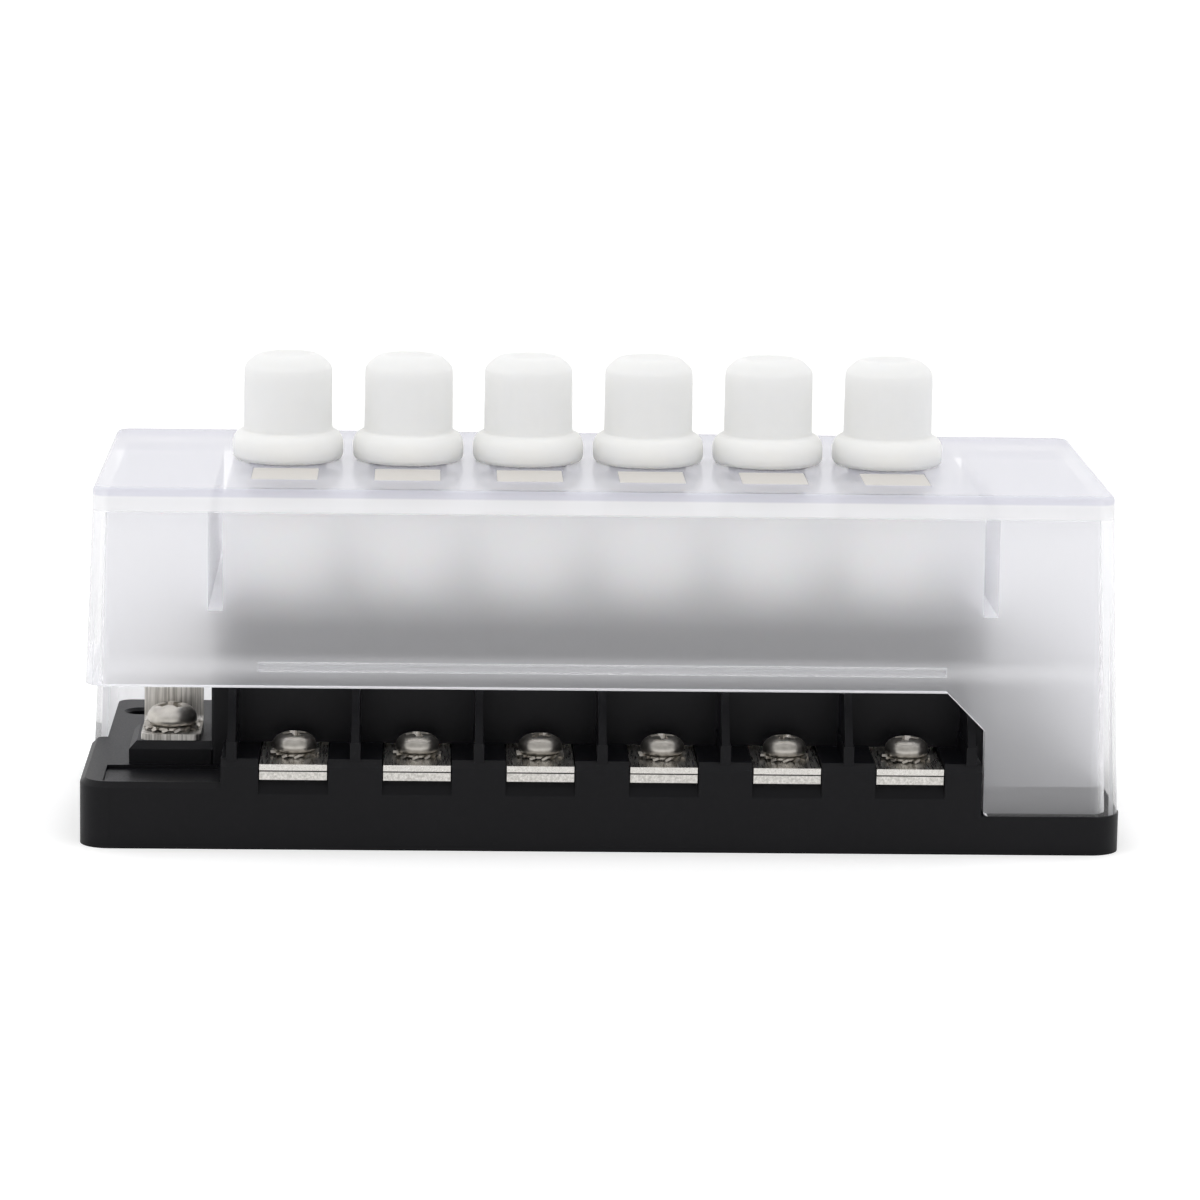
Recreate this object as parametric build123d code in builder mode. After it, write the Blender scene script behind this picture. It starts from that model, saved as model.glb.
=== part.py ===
from build123d import *
from math import radians, tan
import os

# Six-way circuit breaker panel with a lift-off clear cover and rubber boots over the reset buttons.
# Millimetres. +X runs along the row of ways, +Y from the terminals to the rear, +Z up.
# The origin is the middle of the base's underside.

os.makedirs("parts", exist_ok=True)

# One way is a terminal bay, a plug-in breaker and a boot
way_count = 6
way_pitch = 20.0
breaker_offset = -2.0

# Base moulding, plan sizes from the front face to the rear
terminal_depth = 14.4
housing_depth = 40.2
rear_bay = 15.4
end_bay = 20.9
base_corner = 5.0

# Base moulding, levels above the underside
flange_height = 6.4
plate_top = 10.9
bay_floor = 14.8
cell_floor = 24.5
housing_top = 38.0
fin_top = 41.0

# Base moulding, walls, ribs and edges
housing_wall = 2.2
housing_end = 2.1
mid_wall = 2.2
cell_web = 2.2
core_floor = 2.3
core_corner = 1.2
rib_foot = 1.7
rib_blade = 1.3
rib_setback = 0.8
rib_step = 2.8
rib_rise_end = 16.0
fin_end_slope = 3.0
plate_chamfer = 0.9
block_chamfer = 1.2
step_radius = 2.0
rim_fillet = 0.6

# Nameplate recess on the front left of the base, left bare
nameplate_length = 18.2
nameplate_width = 12.2
nameplate_front = 1.4
nameplate_side = 3.9
nameplate_sink = 0.6

# Fixing holes through the base
fixing_radius = 2.5
fixing_side = 7.0
fixing_rear = 12.5
fixing_front = 12.5
fixing_countersink = 0.5

# Support post in the rear right bay
post_length = 12.0
post_width = 13.0
post_height = 24.0
post_from_housing = 1.2
post_front = 41.0
post_fillet = 1.5
post_pilot = 1.4
post_pilot_depth = 12.0

# Feed pedestal on the left
pedestal_width = 13.5
pedestal_length = 16.4
pedestal_top = 14.6
pedestal_chamfer = 1.2

# Busbar, one blanked and bent strip
bus_thickness = 1.0
bus_foot_width = 9.8
bus_foot_front = 15.8
bus_riser_front = 27.0
bus_level = 24.0
bus_width = 8.0
bus_bend = 1.6
bus_foot_corner = 1.2
bus_tail = 5.0
bus_slot_gap = 1.0

# Output strip, one for each way
strip_width = 10.9
strip_thickness = 1.0
strip_front_gap = 0.1
strip_riser = 18.3
strip_bend = 1.3
strip_side_gap = 0.2
strip_cover_gap = 0.7
strip_riser_gap = 0.1
strip_hole_radius = 1.95

# Spring clip that grips a breaker blade
clip_thickness = 0.8
clip_length = 6.3
clip_half_width = 3.1
clip_shoulder = 3.2
clip_pinch = 8.0
clip_lip = 10.2
clip_lip_half = 2.0
clip_bend = 0.8
blade_gap = 0.06

# Plug-in breaker
breaker_width = 14.0
breaker_length = 32.0
breaker_height = 15.6
breaker_corner = 1.4
breaker_top_chamfer = 1.0
breaker_seam = 0.3
breaker_neck_radius = 4.75
breaker_neck_height = 8.4
breaker_collar_radius = 6.0
breaker_collar_height = 0.8
blade_spacing = 22.0
blade_width = 6.3
blade_thickness = 0.8
blade_length = 10.0
blade_tip_chamfer = 0.9
blade_hole_radius = 1.0
blade_hole_rise = 4.0

# Reset button
button_radius = 3.2
button_gap = 0.12
button_floor_gap = 0.3
button_depth = 11.6
button_stand = 4.2
button_edge = 0.7

# Pan-head screws: shares of the shank's radius at the tip and of the head at its dome
screw_tip_share = 0.6
screw_taper_share = 0.5
dome_radius_share = 0.72
dome_height_share = 0.74

# Terminal screw, tooth washer and nut plate
screw_head_radius = 3.6
screw_head_height = 2.9
screw_head_rim = 0.9
screw_radius = 1.7
screw_length = 8.2
screw_from_front = 8.0
screw_thread_gap = 0.05
screw_tip_gap = 0.5
screw_tip_room = 1.0
cross_width = 1.15
cross_length = 4.3
cross_depth = 1.5
washer_radius = 3.1
washer_hole_gap = 0.15
washer_thickness = 0.5
washer_height = 0.8
tooth_count = 12
tooth_reach = 0.85
tooth_width = 1.0
tooth_twist = 20.0
nut_plate_length = 10.0
nut_plate_thickness = 1.6
nut_plate_gap = 0.3
nut_plate_setback = 0.35
relief_depth = 1.3
relief_drop = 2.3

# Feed screw, washer and nut
feed_head_radius = 4.1
feed_head_height = 3.3
feed_head_rim = 1.1
feed_radius = 2.0
feed_length = 9.0
feed_from_front = 20.9
feed_hole_gap = 0.2
feed_cross_width = 1.35
feed_cross_length = 5.2
feed_cross_depth = 1.8
feed_washer_radius = 3.8
feed_washer_thickness = 0.6
feed_washer_height = 0.9
feed_tooth_count = 14
nut_flats = 7.0
nut_height = 3.2
nut_pocket_gap = 0.15
nut_floor_gap = 0.2

# Cover, a clear shell that lifts off
cover_top = 58.8
cover_wall = 2.1
cover_draft = 2.3
cover_inset = 0.2
cover_gap = 0.3
cover_edge = 0.8
mouth_top = 26.5
mouth_slope = 6.2
mouth_side_depth = 37.0
mouth_corner = 0.8
bead_radius = 0.8
bead_rise = 3.0
partition_thickness = 2.4
partition_gap = 0.6
partition_end = 0.3
label_length = 10.9
label_width = 12.6
label_sink = 0.3
label_thickness = 0.2
label_boot_gap = 0.5
label_side_gap = 0.1

# Rubber boot, pushed into a hole of the cover
boot_hole_radius = 6.5
boot_seat_gap = 0.1
boot_flange_radius = 8.6
boot_flange_height = 1.6
boot_collar_radius = 9.2
boot_collar_height = 5.2
boot_collar_round = 1.8
boot_cap_radius = 7.35
boot_cap_chamfer = 2.3
boot_cap_drop = 1.9
boot_cap_round = 0.8
boot_height = 18.0
boot_wall = 1.7
boot_roof = 2.0
boot_bore_gap = 0.6

# Places that follow from the sizes above
way_xs = [(way - (way_count - 1) / 2) * way_pitch for way in range(way_count)]
breaker_xs = [x + breaker_offset for x in way_xs]
rib_xs = [(rib - way_count / 2) * way_pitch for rib in range(way_count + 1)]
row_half = way_count * way_pitch / 2
block_half = row_half + rib_foot
housing_half = block_half + housing_end
base_half = housing_half + end_bay
base_length = 2 * base_half
base_depth = terminal_depth + housing_depth + rear_bay
front_y = -base_depth / 2
rear_y = base_depth / 2
bay_back_y = front_y + terminal_depth
housing_back_y = bay_back_y + housing_depth
breaker_y = (bay_back_y + housing_back_y) / 2
front_blade_y = breaker_y - blade_spacing / 2
rear_blade_y = breaker_y + blade_spacing / 2
cell_front_y = bay_back_y + housing_wall
cell_back_y = breaker_y - mid_wall / 2
trough_front_y = breaker_y + mid_wall / 2
trough_back_y = housing_back_y - housing_wall
cell_width = way_pitch - cell_web
trough_half = row_half - cell_web / 2
seat_width = cover_inset + cover_wall + cover_gap
mouth_right_x = block_half + cover_gap
screw_y = front_y + screw_from_front
strip_top = bay_floor - strip_cover_gap
strip_underside = strip_top - strip_thickness
nut_plate_underside = strip_underside - nut_plate_thickness
clip_floor = cell_floor + strip_thickness
feed_x = -housing_half - pedestal_width / 2
feed_y = front_y + feed_from_front
foot_top = pedestal_top + bus_thickness
feed_seat = foot_top + feed_washer_height
nut_underside = pedestal_top - nut_height
breaker_top = housing_top + breaker_height
cover_underside = cover_top - cover_wall


def strip_of(points, bend, thickness):
    """Draws a bent strip of even thickness along a line of points, rounded at each bend."""
    with BuildLine() as middle:
        FilletPolyline(*points, radius=bend)
    trace(middle.line, line_width=thickness)


def clip_outline(floor):
    """Points of a spring clip's middle line, seen along Y, standing on a floor level."""
    base_line = floor - clip_thickness / 2
    pinch_half = (blade_thickness + clip_thickness) / 2 + blade_gap
    right = [
        (clip_half_width, base_line),
        (clip_half_width, floor + clip_shoulder),
        (pinch_half, floor + clip_pinch),
        (clip_lip_half, floor + clip_lip),
    ]
    left = [(-x, z) for x, z in reversed(right)]
    return left + right


def screw_outline(seat, head_radius, head_height, head_rim, radius, length):
    """Draws half the outline of a pan-head screw whose head stands on a seat level."""
    with BuildLine() as outline:
        Polyline(
            (0, seat + head_height),
            (0, seat - length),
            (radius * screw_tip_share, seat - length),
            (radius, seat - length + radius * screw_taper_share),
            (radius, seat),
            (head_radius, seat),
            (head_radius, seat + head_rim),
        )
        Spline(
            (head_radius, seat + head_rim),
            (head_radius * dome_radius_share, seat + head_rim + (head_height - head_rim) * dome_height_share),
            (0, seat + head_height),
            tangents=((0, 1), (-1, 0)),
        )
    make_face(outline.edges())


# Base: one black moulding with the bays, the breaker cells, the bus trough and the pedestal
with BuildPart() as base:
    with BuildSketch():
        RectangleRounded(base_length, base_depth, base_corner)
    extrude(amount=flange_height)

    # Full-width stretch along the front and the left, under the cover's mouth
    with BuildSketch(Plane.XY.offset(flange_height)):
        RectangleRounded(base_length, base_depth, base_corner)
        mouth_length = base_half + block_half
        mouth_depth = mouth_side_depth - cover_gap
        with Locations((mouth_length / 2 - base_half, front_y + mouth_depth / 2)):
            Rectangle(mouth_length, mouth_depth, mode=Mode.INTERSECT)
    extrude(amount=plate_top - flange_height)
    step_corner = base.edges().filter_by(Axis.Z).filter_by(
        lambda edge: edge.center().Z > flange_height
    ).group_by(Axis.X)[0].sort_by(Axis.Y)[-1]
    fillet(step_corner, radius=step_radius)
    rim_edges = base.faces().sort_by(Axis.Z)[-1].edges().filter_by(
        lambda edge: edge.center().Y < front_y + base_corner or edge.center().X < -base_half + seat_width
    )
    chamfer(rim_edges, length=plate_chamfer)

    # Raised plate inside the cover's walls
    with BuildSketch(Plane.XY.offset(flange_height)):
        RectangleRounded(base_length - 2 * seat_width, base_depth - 2 * seat_width, base_corner - seat_width)
    extrude(amount=plate_top - flange_height)

    # Terminal block and breaker housing
    with BuildSketch(Plane.YZ):
        with BuildLine():
            Polyline(
                (front_y, flange_height),
                (front_y, bay_floor - block_chamfer),
                (front_y + block_chamfer, bay_floor),
                (bay_back_y, bay_floor),
                (bay_back_y, flange_height),
                close=True,
            )
        make_face()
    extrude(amount=block_half, both=True)
    with BuildSketch(Plane.XY.offset(flange_height)):
        with Locations((0, breaker_y)):
            Rectangle(2 * housing_half, housing_depth)
    extrude(amount=housing_top - flange_height)
    housing_corners = base.edges().filter_by(Axis.Z).filter_by(
        lambda edge: abs(abs(edge.center().X) - housing_half) < rim_fillet and edge.length > cell_floor
    )
    fillet(housing_corners, radius=rim_fillet)

    # Ribs between the bays, carried back over the housing as fins between the breakers
    for rib_x in rib_xs:
        with BuildSketch(Plane.YZ.offset(rib_x)):
            with BuildLine():
                Polyline(
                    (front_y + rib_setback, bay_floor - rib_step),
                    (front_y + rib_setback, bay_floor + rib_step),
                    (bay_back_y + rib_foot, bay_floor + rib_step),
                    (bay_back_y + rib_foot, bay_floor - rib_step),
                    close=True,
                )
            make_face()
        extrude(amount=rib_foot / 2, both=True)
        with BuildSketch(Plane.YZ.offset(rib_x)):
            with BuildLine():
                Polyline(
                    (front_y + rib_setback, bay_floor),
                    (front_y + rib_setback, bay_floor + rib_step),
                    (front_y + rib_rise_end, fin_top),
                    (housing_back_y - fin_end_slope, fin_top),
                    (housing_back_y, housing_top),
                    (housing_back_y, housing_top - fin_end_slope),
                    (cell_front_y, housing_top - fin_end_slope),
                    (cell_front_y, bay_floor),
                    close=True,
                )
            make_face()
        extrude(amount=rib_blade / 2, both=True)

    # Breaker cells, the bus trough behind them and its open end on the left
    with BuildSketch(Plane.XY.offset(housing_top)):
        with Locations(*[(x, (cell_front_y + cell_back_y) / 2) for x in way_xs]):
            Rectangle(cell_width, cell_back_y - cell_front_y)
    extrude(amount=cell_floor - housing_top, mode=Mode.SUBTRACT)
    with BuildSketch(Plane.XY.offset(housing_top)):
        with Locations((0, (trough_front_y + trough_back_y) / 2)):
            Rectangle(2 * trough_half, trough_back_y - trough_front_y)
        slot_end = housing_half - trough_half
        with Locations((-trough_half - slot_end / 2, rear_blade_y)):
            Rectangle(slot_end, bus_width + 2 * bus_slot_gap)
    extrude(amount=bus_level - housing_top, mode=Mode.SUBTRACT)

    # Pockets of the output strips: nut plate seat, strip channel, riser slot and screw tip room
    seat_back = nut_plate_length + nut_plate_setback + nut_plate_gap
    slot_back = strip_riser + strip_bend + strip_riser_gap
    slot_width = strip_width + 2 * strip_side_gap
    for way_x in way_xs:
        with BuildSketch(Plane.YZ.offset(way_x)):
            with BuildLine():
                Polyline(
                    (front_y, nut_plate_underside - relief_drop),
                    (front_y + relief_depth, nut_plate_underside),
                    (front_y + seat_back, nut_plate_underside),
                    (front_y + seat_back, strip_underside),
                    (front_y + slot_back, strip_underside),
                    (front_y + slot_back, cell_floor),
                    (cell_front_y, cell_floor),
                    (cell_front_y, bay_floor),
                    (front_y, bay_floor),
                    close=True,
                )
            make_face()
        extrude(amount=slot_width / 2, both=True, mode=Mode.SUBTRACT)
    tip_depth = screw_length - washer_height - strip_thickness - nut_plate_thickness + screw_tip_room
    with BuildSketch(Plane.XY.offset(nut_plate_underside)):
        with Locations(*[(x, screw_y) for x in way_xs]):
            Circle(screw_radius + screw_tip_gap)
    extrude(amount=-tip_depth, mode=Mode.SUBTRACT)

    # Coring under the breaker housing, open at the underside
    core_front_y = front_y + slot_back + core_floor
    with BuildSketch():
        with Locations(*[(x, (core_front_y + trough_back_y) / 2) for x in way_xs]):
            RectangleRounded(cell_width, trough_back_y - core_front_y, core_corner)
    extrude(amount=bus_level - core_floor, mode=Mode.SUBTRACT)

    # Feed pedestal with sloped top edges, a pocket for the nut and a blind hole for the screw's tip
    pedestal_y = bay_back_y + pedestal_length / 2
    with BuildSketch(Plane.XY.offset(plate_top)):
        with Locations((feed_x, pedestal_y)):
            Rectangle(pedestal_width, pedestal_length)
    extrude(amount=pedestal_top - pedestal_chamfer - plate_top)
    with BuildSketch(Plane.XY.offset(pedestal_top - pedestal_chamfer)):
        with Locations((feed_x + pedestal_chamfer / 2, pedestal_y)):
            Rectangle(pedestal_width + pedestal_chamfer, pedestal_length)
    extrude(amount=pedestal_chamfer, taper=45)
    nut_seat = nut_underside - nut_floor_gap
    with BuildSketch(Plane.XY.offset(nut_seat)):
        with Locations((feed_x, feed_y)):
            RegularPolygon(nut_flats / 2 + nut_pocket_gap, 6, major_radius=False)
    extrude(amount=pedestal_top - nut_seat, mode=Mode.SUBTRACT)
    with BuildSketch(Plane.XY.offset(nut_seat)):
        with Locations((feed_x, feed_y)):
            Circle(feed_radius + feed_hole_gap)
    extrude(amount=feed_seat - feed_length - screw_tip_room - nut_seat, mode=Mode.SUBTRACT)

    # Support post in the rear right bay, with a pilot hole
    post_x = housing_half + post_from_housing + post_length / 2
    post_y = front_y + post_front + post_width / 2
    with BuildSketch(Plane.XY.offset(plate_top)):
        with Locations((post_x, post_y)):
            RectangleRounded(post_length, post_width, post_fillet)
    extrude(amount=post_height - plate_top)
    with BuildSketch(Plane.XY.offset(post_height)):
        with Locations((post_x, post_y)):
            Circle(post_pilot)
    extrude(amount=-post_pilot_depth, mode=Mode.SUBTRACT)

    # Nameplate recess
    with BuildSketch(Plane.XY.offset(plate_top)):
        with Locations(
            (
                nameplate_length / 2 + nameplate_side - base_half,
                front_y + nameplate_front + nameplate_width / 2,
            )
        ):
            RectangleRounded(nameplate_length, nameplate_width, nameplate_sink)
    extrude(amount=-nameplate_sink, mode=Mode.SUBTRACT)

    # Fixing holes: both rear corners and the front right one
    fixing_x = base_half - fixing_side
    fixing_spots = [
        (-fixing_x, rear_y - fixing_rear),
        (fixing_x, rear_y - fixing_rear),
        (fixing_x, front_y + fixing_front),
    ]
    with Locations(*[(x, y, plate_top) for x, y in fixing_spots]):
        CounterSinkHole(
            radius=fixing_radius,
            counter_sink_radius=fixing_radius + fixing_countersink,
            depth=plate_top,
            counter_sink_angle=90,
        )
base.part.label = "base"
export_step(base.part, "parts/base.step")


# Busbar: blanked from strip, its left arm bent down to the feed screw
bus_middle = bus_level + bus_thickness / 2
bus_back_y = rear_blade_y + bus_width / 2
with BuildPart() as busbar:
    with BuildSketch(Plane.YZ.offset(feed_x)):
        strip_of(
            [
                (front_y + bus_foot_front, pedestal_top + bus_thickness / 2),
                (front_y + bus_riser_front + bus_thickness / 2, pedestal_top + bus_thickness / 2),
                (front_y + bus_riser_front + bus_thickness / 2, bus_middle),
                (bus_back_y, bus_middle),
            ],
            bus_bend,
            bus_thickness,
        )
    extrude(amount=bus_foot_width / 2, both=True)
    foot_corners = busbar.edges().filter_by(Axis.Z).group_by(Axis.Y)[0]
    fillet(foot_corners, radius=bus_foot_corner)
    with BuildSketch(Plane.XY.offset(bus_level)):
        bus_right = breaker_xs[-1] + bus_tail
        with Locations(((feed_x + bus_right) / 2, rear_blade_y)):
            Rectangle(bus_right - feed_x, bus_width)
    extrude(amount=bus_thickness)
    with BuildSketch(Plane.XY.offset(pedestal_top)):
        with Locations((feed_x, feed_y)):
            Circle(feed_radius + feed_hole_gap)
    extrude(amount=bus_thickness, mode=Mode.SUBTRACT)
busbar.part.label = "busbar"
export_step(busbar.part, "parts/busbar.step")


# Bus clips: six formed springs, welded to the busbar under the rear blades
bus_clip_floor = bus_level + bus_thickness + clip_thickness
with BuildPart() as bus_clips:
    for breaker_x in breaker_xs:
        with BuildSketch(Plane((breaker_x, rear_blade_y, 0), x_dir=(1, 0, 0), z_dir=(0, -1, 0))):
            strip_of(clip_outline(bus_clip_floor), clip_bend, clip_thickness)
        extrude(amount=clip_length / 2, both=True)
bus_clips.part.label = "bus_clips"
export_step(bus_clips.part, "parts/bus_clips.step")


# Output strips: flat under the screw, up through the housing wall, then formed into a clip
strip_middle = strip_underside + strip_thickness / 2
for way, way_x in enumerate(way_xs, start=1):
    with BuildPart() as output_strip:
        with BuildSketch(Plane.YZ.offset(way_x)):
            strip_of(
                [
                    (front_y + strip_front_gap, strip_middle),
                    (front_y + strip_riser, strip_middle),
                    (front_y + strip_riser, cell_floor + strip_thickness / 2),
                    (front_blade_y + clip_length / 2, cell_floor + strip_thickness / 2),
                ],
                strip_bend,
                strip_thickness,
            )
        extrude(amount=strip_width / 2, both=True)
        neck_trim = -2 * breaker_offset
        with BuildSketch(Plane.XY.offset(cell_floor)):
            with Locations((way_x + (strip_width - neck_trim) / 2, front_blade_y)):
                Rectangle(neck_trim, clip_length)
        extrude(amount=strip_thickness, mode=Mode.SUBTRACT)
        clip_x = way_x + breaker_offset
        with BuildSketch(Plane((clip_x, front_blade_y, 0), x_dir=(1, 0, 0), z_dir=(0, -1, 0))):
            strip_of(clip_outline(clip_floor), clip_bend, clip_thickness)
        extrude(amount=clip_length / 2, both=True)
        with BuildSketch(Plane.XY.offset(strip_underside)):
            with Locations((way_x, screw_y)):
                Circle(strip_hole_radius)
        extrude(amount=strip_thickness, mode=Mode.SUBTRACT)
    output_strip.part.label = f"output_strip_{way}"
    export_step(output_strip.part, f"parts/output_strip_{way}.step")


# Nut plates: a tapped plate under each output strip
with BuildPart() as nut_plates:
    with BuildSketch(Plane.XY.offset(nut_plate_underside)):
        with Locations(*[(x, front_y + nut_plate_setback + nut_plate_length / 2) for x in way_xs]):
            Rectangle(strip_width, nut_plate_length)
        with Locations(*[(x, screw_y) for x in way_xs]):
            Circle(screw_radius + screw_thread_gap, mode=Mode.SUBTRACT)
    extrude(amount=nut_plate_thickness)
nut_plates.part.label = "nut_plates"
export_step(nut_plates.part, "parts/nut_plates.step")


# Terminal screws: pan heads with a cross recess, one in each way
screw_seat = strip_top + washer_height
with BuildPart() as terminal_screws:
    for way_x in way_xs:
        with BuildSketch(Plane((way_x, screw_y, 0), x_dir=(1, 0, 0), z_dir=(0, -1, 0))):
            screw_outline(
                screw_seat, screw_head_radius, screw_head_height, screw_head_rim, screw_radius, screw_length
            )
        revolve(axis=Axis((way_x, screw_y, 0), (0, 0, 1)))
    with BuildSketch(Plane.XY.offset(screw_seat + screw_head_height)):
        with Locations(*[(x, screw_y) for x in way_xs]):
            Rectangle(cross_length, cross_width)
    extrude(amount=-cross_depth, mode=Mode.SUBTRACT)
    with BuildSketch(Plane.XY.offset(screw_seat + screw_head_height)):
        with Locations(*[(x, screw_y) for x in way_xs]):
            Rectangle(cross_width, cross_length)
    extrude(amount=-cross_depth, mode=Mode.SUBTRACT)
terminal_screws.part.label = "terminal_screws"
export_step(terminal_screws.part, "parts/terminal_screws.step")


def tooth_washer_at(x, y, seat, radius, hole, thickness, height, count):
    """Adds an external-tooth lock washer to the part being built, its teeth twisted."""
    middle = seat + height / 2
    with BuildSketch(Plane.XY.offset(middle - thickness / 2)) as ring:
        with Locations((x, y)):
            Circle(radius)
            Circle(hole, mode=Mode.SUBTRACT)
    extrude(ring.sketch, amount=thickness)
    for tooth in range(count):
        spot = Plane((x, y, middle)).rotated((0, 0, 360 * tooth / count))
        with Locations(spot.location * Pos(radius, 0, 0) * Rot(tooth_twist, 0, 0)):
            Box(2 * tooth_reach, tooth_width, thickness)


# Tooth washers under the terminal screws
with BuildPart() as lock_washers:
    for way_x in way_xs:
        tooth_washer_at(
            way_x, screw_y, strip_top, washer_radius, screw_radius + washer_hole_gap,
            washer_thickness, washer_height, tooth_count,
        )
lock_washers.part.label = "lock_washers"
export_step(lock_washers.part, "parts/lock_washers.step")


# Feed screw, its tooth washer and its nut
with BuildPart() as feed_screw:
    with BuildSketch(Plane((feed_x, feed_y, 0), x_dir=(1, 0, 0), z_dir=(0, -1, 0))):
        screw_outline(feed_seat, feed_head_radius, feed_head_height, feed_head_rim, feed_radius, feed_length)
    revolve(axis=Axis((feed_x, feed_y, 0), (0, 0, 1)))
    with BuildSketch(Plane.XY.offset(feed_seat + feed_head_height)):
        with Locations((feed_x, feed_y)):
            Rectangle(feed_cross_length, feed_cross_width)
    extrude(amount=-feed_cross_depth, mode=Mode.SUBTRACT)
    with BuildSketch(Plane.XY.offset(feed_seat + feed_head_height)):
        with Locations((feed_x, feed_y)):
            Rectangle(feed_cross_width, feed_cross_length)
    extrude(amount=-feed_cross_depth, mode=Mode.SUBTRACT)
feed_screw.part.label = "feed_screw"
export_step(feed_screw.part, "parts/feed_screw.step")

with BuildPart() as feed_washer:
    tooth_washer_at(
        feed_x, feed_y, foot_top, feed_washer_radius, feed_radius + washer_hole_gap,
        feed_washer_thickness, feed_washer_height, feed_tooth_count,
    )
feed_washer.part.label = "feed_washer"
export_step(feed_washer.part, "parts/feed_washer.step")

with BuildPart() as feed_nut:
    with BuildSketch(Plane.XY.offset(nut_underside)):
        with Locations((feed_x, feed_y)):
            RegularPolygon(nut_flats / 2, 6, major_radius=False)
            Circle(feed_radius + screw_thread_gap, mode=Mode.SUBTRACT)
    extrude(amount=nut_height)
feed_nut.part.label = "feed_nut"
export_step(feed_nut.part, "parts/feed_nut.step")


# Breakers: a two-shell body on the housing's middle wall, with a neck for the button
button_bore_floor = breaker_top + breaker_neck_height - button_depth - button_floor_gap
for way, breaker_x in enumerate(breaker_xs, start=1):
    with BuildPart() as breaker_body:
        with BuildSketch(Plane.XY.offset(housing_top)):
            with Locations((breaker_x, breaker_y)):
                RectangleRounded(breaker_width, breaker_length, breaker_corner)
        extrude(amount=breaker_height)
        chamfer(breaker_body.faces().sort_by(Axis.Z)[-1].edges(), length=breaker_top_chamfer)
        with BuildSketch(Plane.XY.offset(housing_top)):
            with Locations((breaker_x, breaker_y)):
                Rectangle(breaker_seam, breaker_length)
                Rectangle(breaker_seam, breaker_length - 2 * breaker_seam, mode=Mode.SUBTRACT)
        extrude(amount=breaker_height, mode=Mode.SUBTRACT)
        with BuildSketch(Plane.XY.offset(breaker_top)):
            with Locations((breaker_x, breaker_y)):
                Circle(breaker_collar_radius)
        extrude(amount=breaker_collar_height)
        with BuildSketch(Plane.XY.offset(breaker_top)):
            with Locations((breaker_x, breaker_y)):
                Circle(breaker_neck_radius)
        extrude(amount=breaker_neck_height)
        with BuildSketch(Plane.XY.offset(button_bore_floor)):
            with Locations((breaker_x, breaker_y)):
                Circle(button_radius + button_gap)
        extrude(amount=button_depth + button_floor_gap, mode=Mode.SUBTRACT)
    breaker_body.part.label = f"breaker_body_{way}"
    export_step(breaker_body.part, f"parts/breaker_body_{way}.step")

    # Blades: a pair of plug-in tabs under the body
    with BuildPart() as breaker_blades:
        for blade_y in (front_blade_y, rear_blade_y):
            with BuildSketch(Plane.YZ.offset(breaker_x)):
                with Locations((blade_y, housing_top - blade_length / 2)):
                    Rectangle(blade_width, blade_length)
                with Locations((blade_y, housing_top - blade_length + blade_hole_rise)):
                    Circle(blade_hole_radius, mode=Mode.SUBTRACT)
            extrude(amount=blade_thickness / 2, both=True)
        tip_corners = breaker_blades.edges().filter_by(Axis.X).group_by(Axis.Z)[0]
        chamfer(tip_corners, length=blade_tip_chamfer)
    breaker_blades.part.label = f"breaker_blades_{way}"
    export_step(breaker_blades.part, f"parts/breaker_blades_{way}.step")

    # Reset button: slides up out of the neck when the breaker trips
    button_floor = button_bore_floor + button_floor_gap
    with BuildPart() as reset_button:
        with BuildSketch(Plane.XY.offset(button_floor)):
            with Locations((breaker_x, breaker_y)):
                Circle(button_radius)
        extrude(amount=button_depth + button_stand)
        fillet(reset_button.faces().sort_by(Axis.Z)[-1].edges(), radius=button_edge)
    reset_button.part.label = f"reset_button_{way}"
    export_step(reset_button.part, f"parts/reset_button_{way}.step")


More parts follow.
